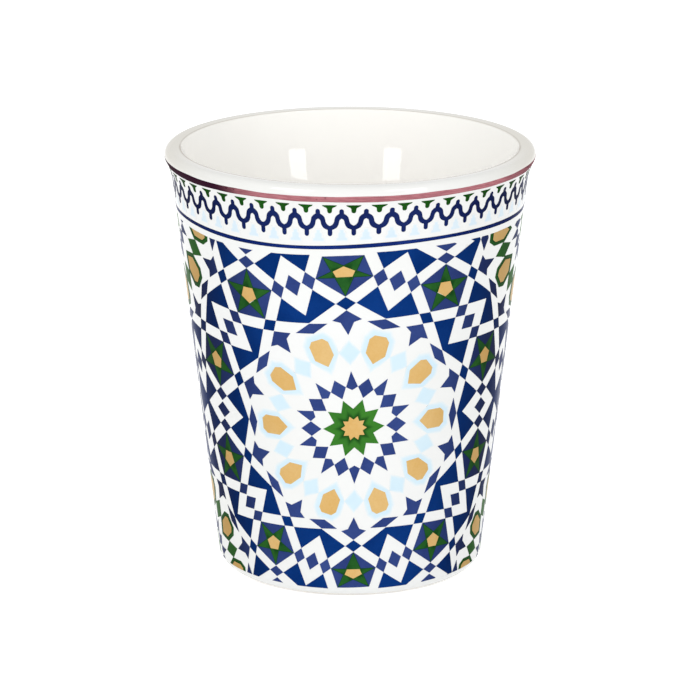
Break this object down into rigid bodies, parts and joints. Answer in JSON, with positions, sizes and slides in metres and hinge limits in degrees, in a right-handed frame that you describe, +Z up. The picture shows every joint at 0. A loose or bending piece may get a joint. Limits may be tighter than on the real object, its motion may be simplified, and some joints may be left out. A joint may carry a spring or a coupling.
{
  "type": "espresso cup",
  "caption": "Tapered handleless espresso cup with a rolled lip, white glaze and a fired star-tile pattern under a zigzag border.",
  "frame": {"origin": "centre of the foot, on the surface the cup stands on", "axes": "+Z up the cup's axis to the lip, -Y towards the pictured side with a whole star rosette in the middle"},
  "size_m": [0.06, 0.06, 0.07],
  "materials": {
    "body": "unglazed, fine matt clay",
    "glaze": "glossy white glaze",
    "lustre": "plum lustre, brushed on and fired",
    "enamel_drop_green": "fired enamel",
    "enamel_navy": "fired enamel",
    "enamel_border_sky": "pale fired enamel",
    "enamel_rule_navy": "fired enamel",
    "enamel_cobalt": "fired enamel",
    "enamel_violet": "fired enamel",
    "enamel_green": "fired enamel",
    "enamel_ochre": "fired enamel",
    "enamel_sky": "pale fired enamel"
  },
  "bodies": {
    "root": {"body": "body", "glaze": "glaze", "lustre_line": "lustre", "border_drops": "enamel_drop_green", "border_ribbon": "enamel_navy", "border_trees": "enamel_border_sky", "border_rule": "enamel_rule_navy", "field_cobalt": "enamel_cobalt", "field_violet": "enamel_violet", "field_green": "enamel_green", "field_ochre": "enamel_ochre", "field_sky": "enamel_sky"}
  },
  "joints": []
}
